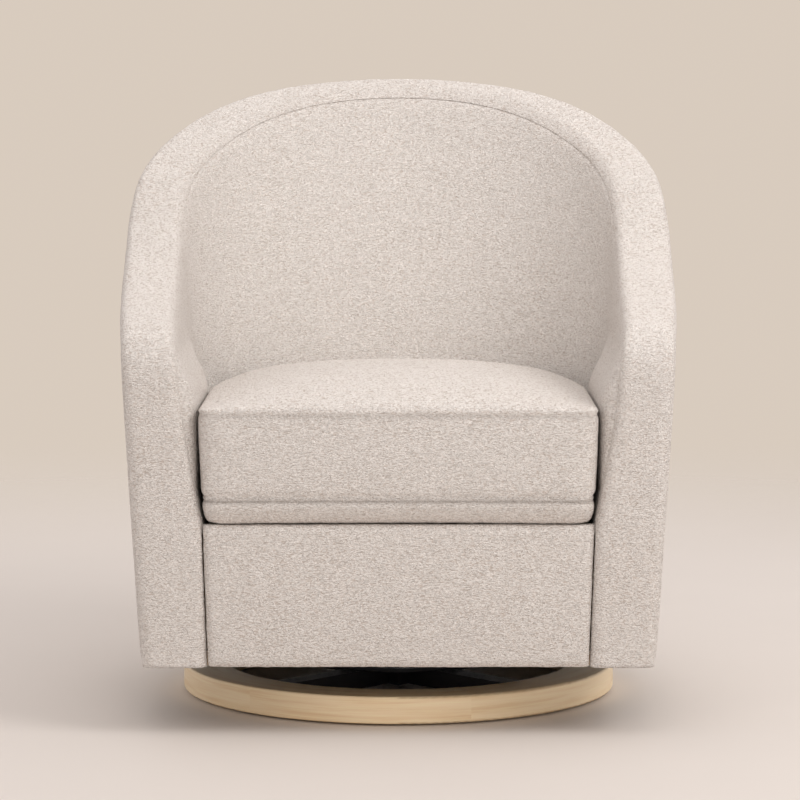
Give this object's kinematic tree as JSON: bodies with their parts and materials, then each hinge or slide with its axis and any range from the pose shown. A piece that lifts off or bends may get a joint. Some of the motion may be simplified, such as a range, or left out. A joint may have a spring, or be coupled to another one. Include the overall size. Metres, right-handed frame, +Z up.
{
  "type": "glider nursery chair",
  "caption": "Upholstered barrel armchair with a loose seat cushion that glides to and fro on hidden swinging links and swivels on a round wooden floor ring.",
  "frame": {"origin": "on the floor, on the swivel axis, which is also the middle of the chair's plan", "axes": "+Z up, the sitter faces -Y, +X to the sitter's left"},
  "size_m": [0.7696, 0.7879, 0.8633],
  "materials": {
    "ring_wood": "clear satin lacquer",
    "plywood": "raw plywood",
    "black_steel": "black powder coat",
    "zinc_steel": "bright zinc plate",
    "bearing_steel": "ground steel",
    "ball_steel": "polished",
    "spring_steel": "oil-blackened spring wire",
    "nylon": "natural nylon",
    "felt": "pressed felt",
    "boucle": "looped boucle cloth",
    "foam": "upholstery foam",
    "cambric": "black non-woven dust cloth"
  },
  "bodies": {
    "base": {"base_ring": "ring_wood", "ring_glides": "felt", "spider_hub": "black_steel", "spider_spokes": "black_steel", "spider_tabs": "black_steel", "tab_screws": "zinc_steel", "bearing_disc": "black_steel", "bearing_lower_race": "bearing_steel", "king_bolt": "zinc_steel", "king_nut": "zinc_steel"},
    "ball_cage": {"bearing_cage": "nylon", "bearing_balls": "ball_steel"},
    "swivel": {"bearing_upper_race": "bearing_steel", "swivel_top_plate": "black_steel", "frame_screws": "zinc_steel", "cross_bars": "black_steel", "hanger_front_left": "black_steel", "hanger_front_right": "black_steel", "hanger_rear_left": "black_steel", "hanger_rear_right": "black_steel", "upper_pivot_bolts": "zinc_steel", "upper_spacers": "nylon", "upper_pivot_nuts": "zinc_steel"},
    "link_front_left": {"link_front_left": "black_steel", "bushes_front_left": "nylon"},
    "link_front_right": {"link_front_right": "black_steel", "bushes_front_right": "nylon"},
    "link_rear_left": {"link_rear_left": "black_steel", "bushes_rear_left": "nylon"},
    "link_rear_right": {"link_rear_right": "black_steel", "bushes_rear_right": "nylon"},
    "seat": {"carriage_rail_left": "black_steel", "carriage_rail_right": "black_steel", "carriage_ties": "black_steel", "lower_pivot_pins": "zinc_steel", "lower_spacers": "nylon", "lower_pivot_nuts": "zinc_steel", "carriage_bolts": "zinc_steel", "bottom_plate": "plywood", "front_rail": "plywood", "rear_rail": "plywood", "side_rails": "plywood", "corner_blocks": "plywood", "rim_rail": "plywood", "lap_rail": "plywood", "arm_ribs": "plywood", "back_ribs": "plywood", "rim_band": "boucle", "outside_cover": "boucle", "inside_pad": "boucle", "front_apron": "boucle", "seat_springs": "spring_steel", "spring_clips": "zinc_steel", "spring_felt": "felt", "deck_pad": "foam", "dust_skirt": "cambric", "dust_panel": "cambric"},
    "cushion": {"seat_cushion_cover": "boucle", "seat_cushion_core": "foam"}
  },
  "joints": [
    {"name": "swivel_turn", "type": "hinge", "parent": "base", "child": "swivel", "pos_m": [0, 0, 0.05], "axis": [0, 0, 1], "continuous": true},
    {"name": "cage_turn", "type": "hinge", "parent": "base", "child": "ball_cage", "pos_m": [0, 0, 0.047], "axis": [0, 0, 1], "continuous": true},
    {"name": "glide_swing", "type": "hinge", "parent": "swivel", "child": "link_front_left", "pos_m": [-0.187, -0.12, 0.214], "axis": [1, 0, 0], "range_deg": [-28, 28]},
    {"name": "seat_level", "type": "hinge", "parent": "link_front_left", "child": "seat", "pos_m": [-0.187, -0.12, 0.104], "axis": [1, 0, 0], "range_deg": [-28, 28]},
    {"name": "swing_front_right", "type": "hinge", "parent": "swivel", "child": "link_front_right", "pos_m": [0.187, -0.12, 0.214], "axis": [1, 0, 0], "range_deg": [-28, 28]},
    {"name": "swing_rear_left", "type": "hinge", "parent": "swivel", "child": "link_rear_left", "pos_m": [-0.187, 0.12, 0.214], "axis": [1, 0, 0], "range_deg": [-28, 28]},
    {"name": "swing_rear_right", "type": "hinge", "parent": "swivel", "child": "link_rear_right", "pos_m": [0.187, 0.12, 0.214], "axis": [1, 0, 0], "range_deg": [-28, 28]},
    {"name": "cushion_lift", "type": "slide", "parent": "seat", "child": "cushion", "axis": [0, 0, 1], "range_m": [0, 0.62]}
  ],
  "couplings": [
    {"joint": "cage_turn", "follows": "swivel_turn", "ratio": 0.5},
    {"joint": "seat_level", "follows": "glide_swing", "ratio": -1},
    {"joint": "swing_front_right", "follows": "glide_swing", "ratio": 1},
    {"joint": "swing_rear_left", "follows": "glide_swing", "ratio": 1},
    {"joint": "swing_rear_right", "follows": "glide_swing", "ratio": 1}
  ]
}
